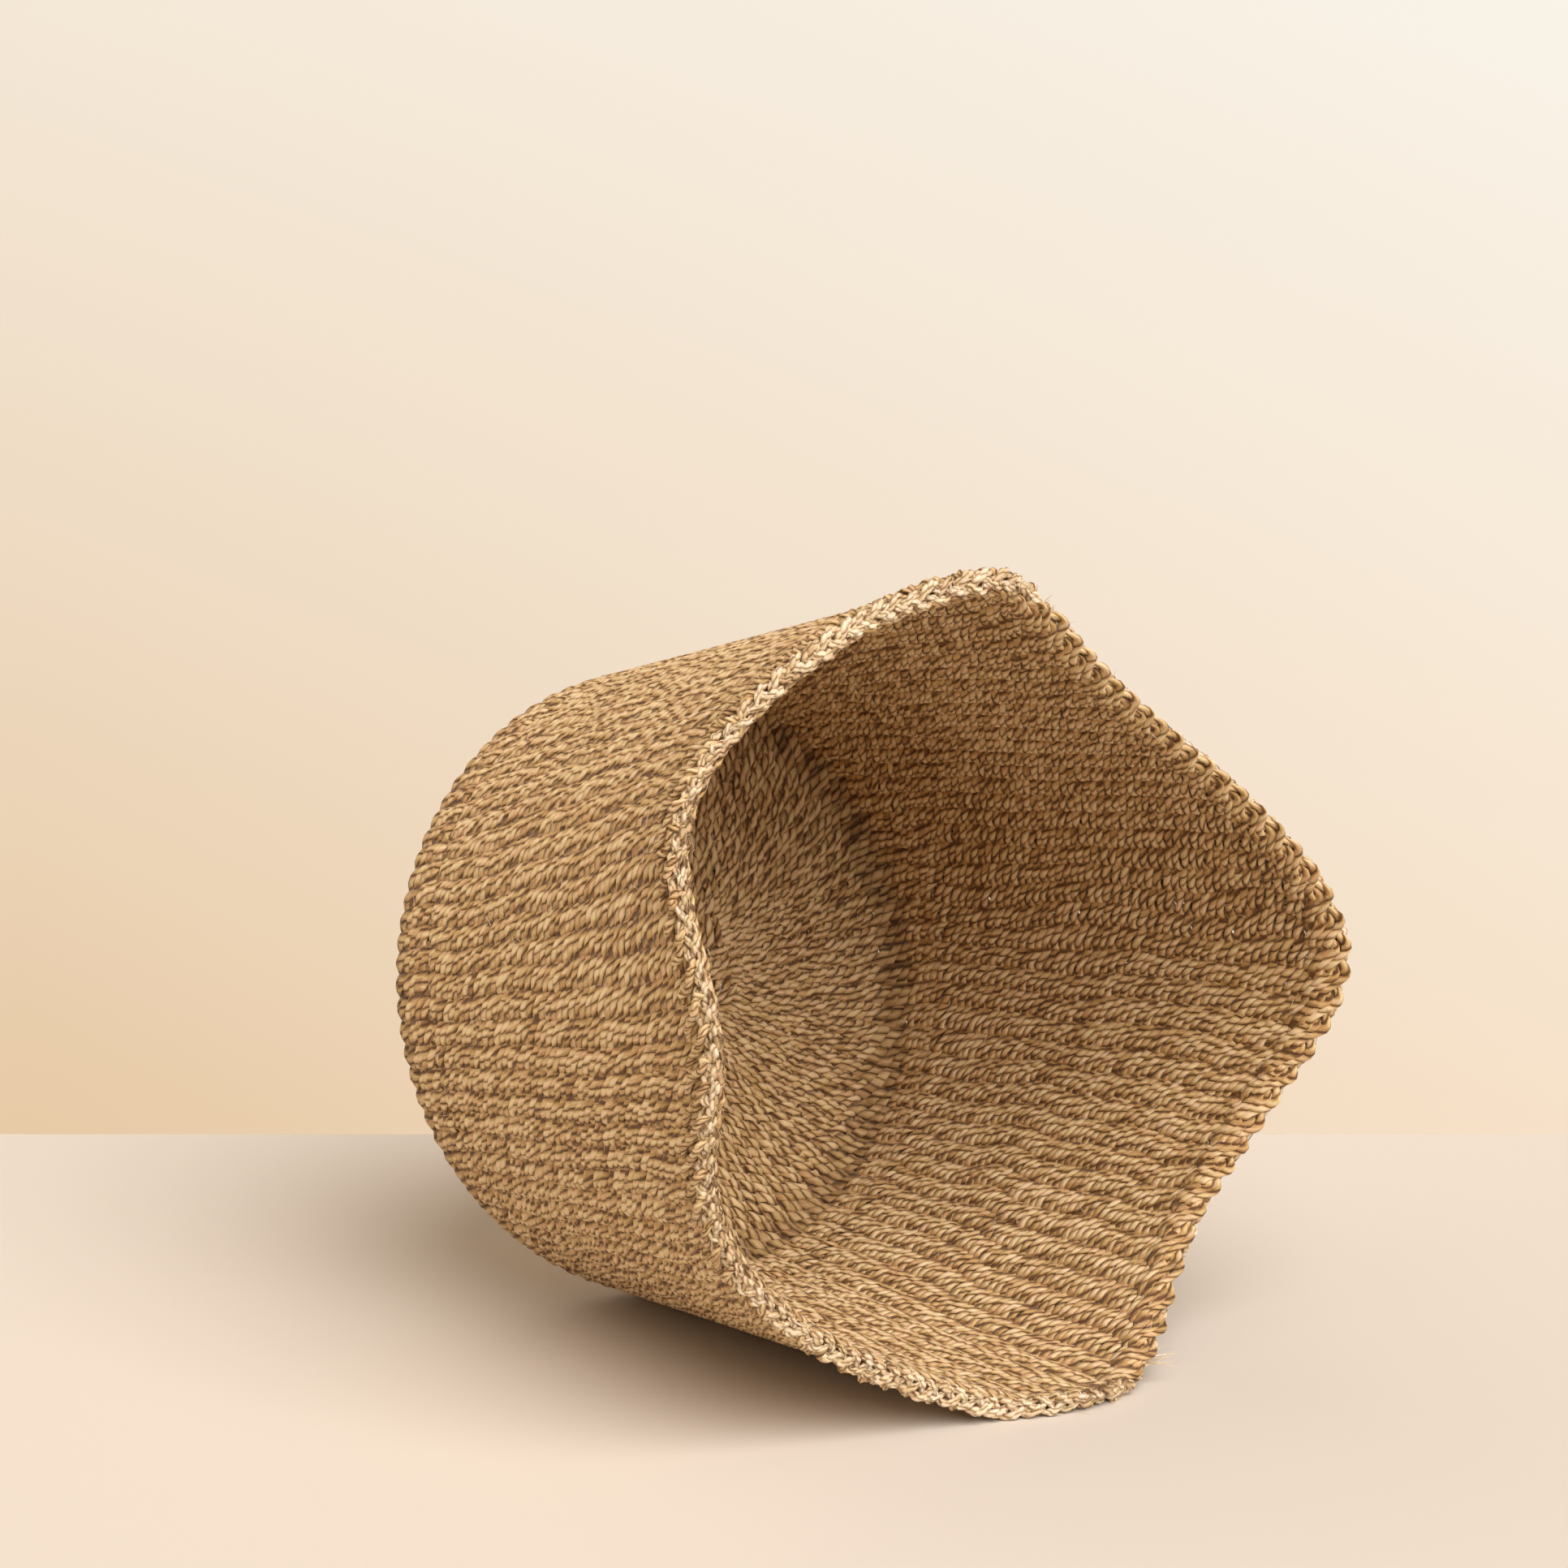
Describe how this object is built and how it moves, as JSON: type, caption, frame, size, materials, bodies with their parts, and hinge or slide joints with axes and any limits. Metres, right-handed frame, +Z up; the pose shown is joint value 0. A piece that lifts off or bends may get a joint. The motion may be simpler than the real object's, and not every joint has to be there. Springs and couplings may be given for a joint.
{
  "type": "planter basket",
  "caption": "Soft twined plant-fibre planter basket with a round flat base, flared wall and wavy folded border, empty and lying on its side.",
  "frame": {"origin": "on the floor under the middle of the basket's bounding box as it lies on its side", "axes": "+Z up from the floor; the mouth faces -Y, the base faces +Y and leans back 12.3 degrees; +X to the right when looking into the mouth"},
  "size_m": [0.3044, 0.2728, 0.3087],
  "materials": {
    "straw_outside": "dry matte plant fibre, sun-bleached straw",
    "straw_inside": "dry matte plant fibre, browner inside",
    "turn_straw": "dry matte plant fibre, thicker strands",
    "border_straw": "dry matte plant fibre, pale cream ends",
    "stake_straw": "dry matte plant fibre, hidden in the sheet"
  },
  "bodies": {
    "root": {"base_start": "straw_outside", "base_weft_outer": "straw_outside", "base_weft_inner": "straw_inside", "turn_round": "turn_straw", "wall_weft_outer": "straw_outside", "wall_weft_inner": "straw_inside", "rim_border": "border_straw", "stake_01": "stake_straw", "stake_02": "stake_straw", "stake_03": "stake_straw", "stake_04": "stake_straw", "stake_05": "stake_straw", "stake_06": "stake_straw", "stake_07": "stake_straw", "stake_08": "stake_straw", "stake_09": "stake_straw", "stake_10": "stake_straw", "stake_11": "stake_straw", "stake_12": "stake_straw", "stake_13": "stake_straw", "stake_14": "stake_straw", "stake_15": "stake_straw", "stake_16": "stake_straw", "stake_17": "stake_straw", "stake_18": "stake_straw", "stake_19": "stake_straw", "stake_20": "stake_straw", "stake_21": "stake_straw", "stake_22": "stake_straw", "stake_23": "stake_straw", "stake_24": "stake_straw", "stake_25": "stake_straw", "stake_26": "stake_straw", "stake_27": "stake_straw", "stake_28": "stake_straw", "stake_29": "stake_straw", "stake_30": "stake_straw", "stake_31": "stake_straw", "stake_32": "stake_straw", "stake_33": "stake_straw", "stake_34": "stake_straw", "stake_35": "stake_straw", "stake_36": "stake_straw", "stake_37": "stake_straw", "stake_38": "stake_straw", "stake_39": "stake_straw", "stake_40": "stake_straw", "stake_41": "stake_straw", "stake_42": "stake_straw", "stake_43": "stake_straw", "stake_44": "stake_straw"}
  },
  "joints": []
}
